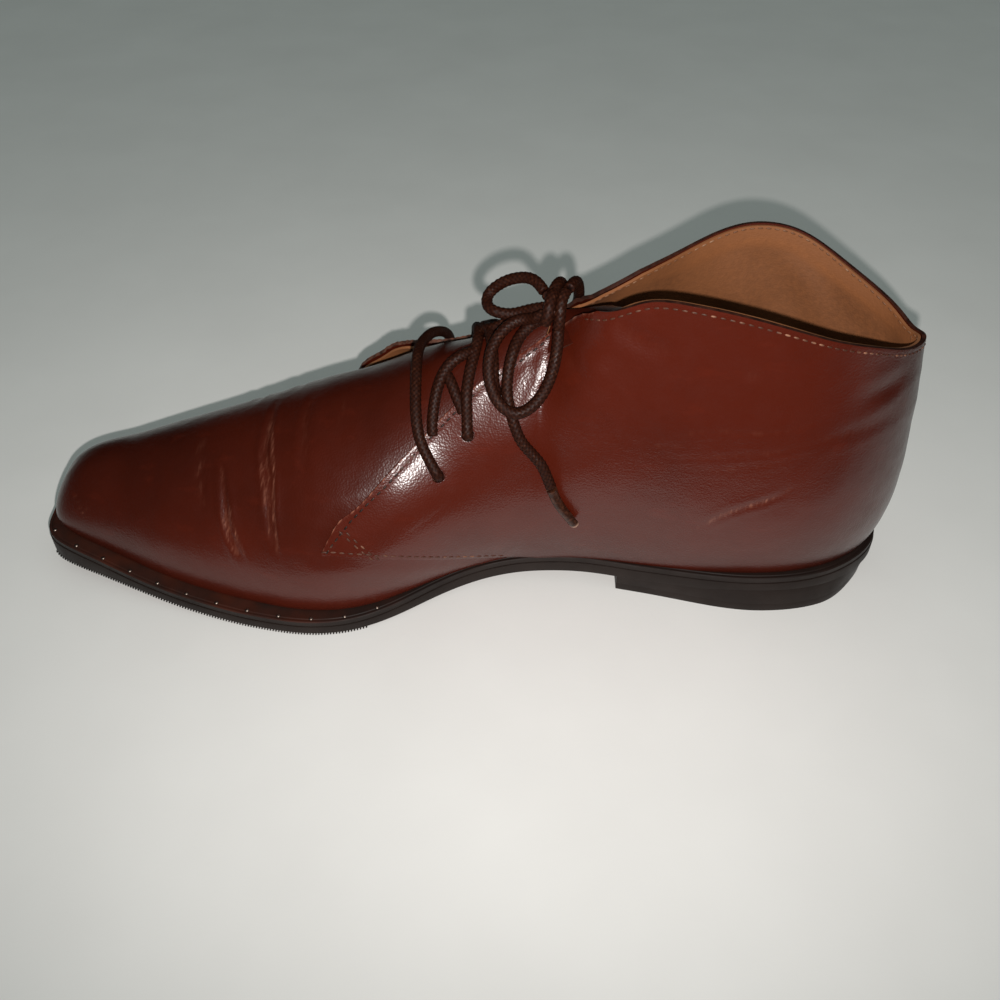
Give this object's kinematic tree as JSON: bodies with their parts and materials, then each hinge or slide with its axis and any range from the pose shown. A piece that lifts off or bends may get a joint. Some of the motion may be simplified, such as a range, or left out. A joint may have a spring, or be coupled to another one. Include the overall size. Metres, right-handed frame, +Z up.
{
  "type": "heeled ankle boot",
  "caption": "Lace-up leather ankle boot with a squared pointed toe, low stacked heel, studded sole ledge and a bow tied over the tongue.",
  "frame": {"origin": "middle of the boot's footprint, on the floor it stands on", "axes": "-X towards the toe, +X towards the heel, +Y towards the lateral (outer) side of a right foot, +Z up"},
  "size_m": [0.2779, 0.0936, 0.1099],
  "materials": {
    "upper_leather": "glossy burnished cognac",
    "sock_leather": "matte tan lining leather",
    "sole_leather": "black-brown dyed sole edge, satin",
    "heel_stack": "black-brown stacked heel, satin",
    "lace": "round braided dark brown cord",
    "aglet": "clear film over the braid"
  },
  "bodies": {
    "root": {"upper": "upper_leather", "tongue": "upper_leather", "insole": "sock_leather", "midsole": "sole_leather", "outsole": "sole_leather", "heel": "heel_stack", "lace_bars": "lace", "lace_knot": "lace", "lace_loop_near": "lace", "lace_loop_top": "lace", "lace_end_near": "lace", "lace_end_far": "lace", "lace_tip_near": "aglet", "lace_tip_far": "aglet"}
  },
  "joints": []
}
